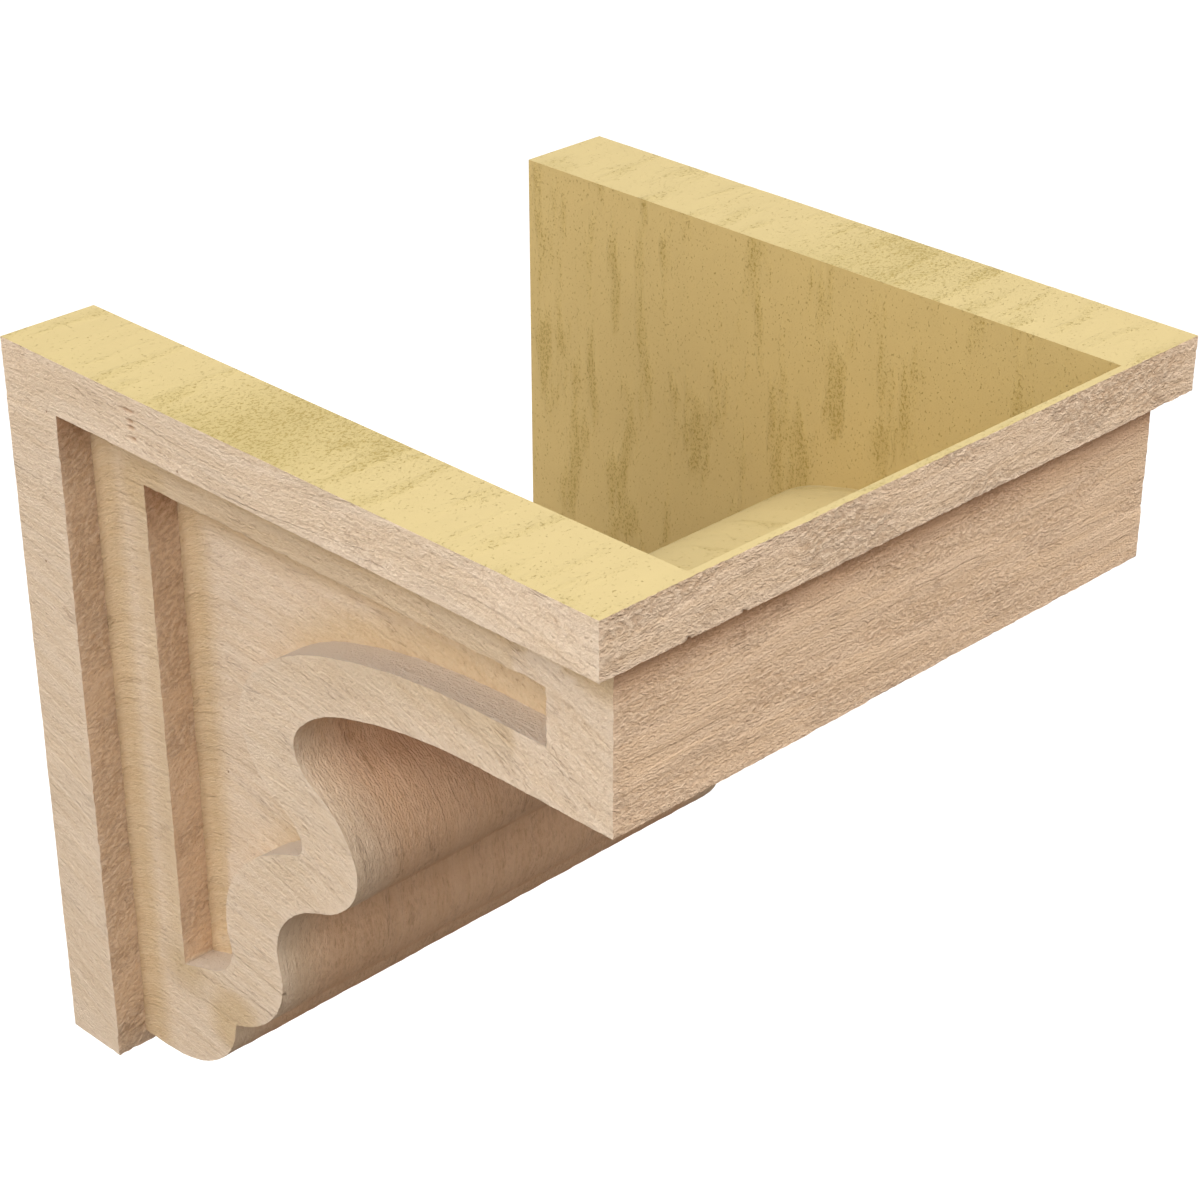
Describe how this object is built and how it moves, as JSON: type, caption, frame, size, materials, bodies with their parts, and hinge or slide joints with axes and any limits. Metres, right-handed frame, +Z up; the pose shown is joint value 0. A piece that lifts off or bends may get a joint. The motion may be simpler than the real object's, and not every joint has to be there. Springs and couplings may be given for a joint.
{
  "type": "hollow scrolled corbel",
  "caption": "Hollow moulded corbel with a flat cap, a stepped stile, sunk side panels and a scrolled underside, open at its top and back to go over a block on the wall.",
  "frame": {"origin": "middle of the top back edge, where the corbel meets the wall", "axes": "+X to the right as seen from the front, +Y into the wall, so the corbel reaches out along -Y, +Z up, with the top in the plane z = 0"},
  "size_m": [0.3048, 0.3048, 0.3048],
  "materials": {
    "painted_foam": "matt tan primer over rigid moulded polyurethane foam with a sandblasted wood grain"
  },
  "bodies": {
    "root": {"corbel": "painted_foam"}
  },
  "joints": []
}
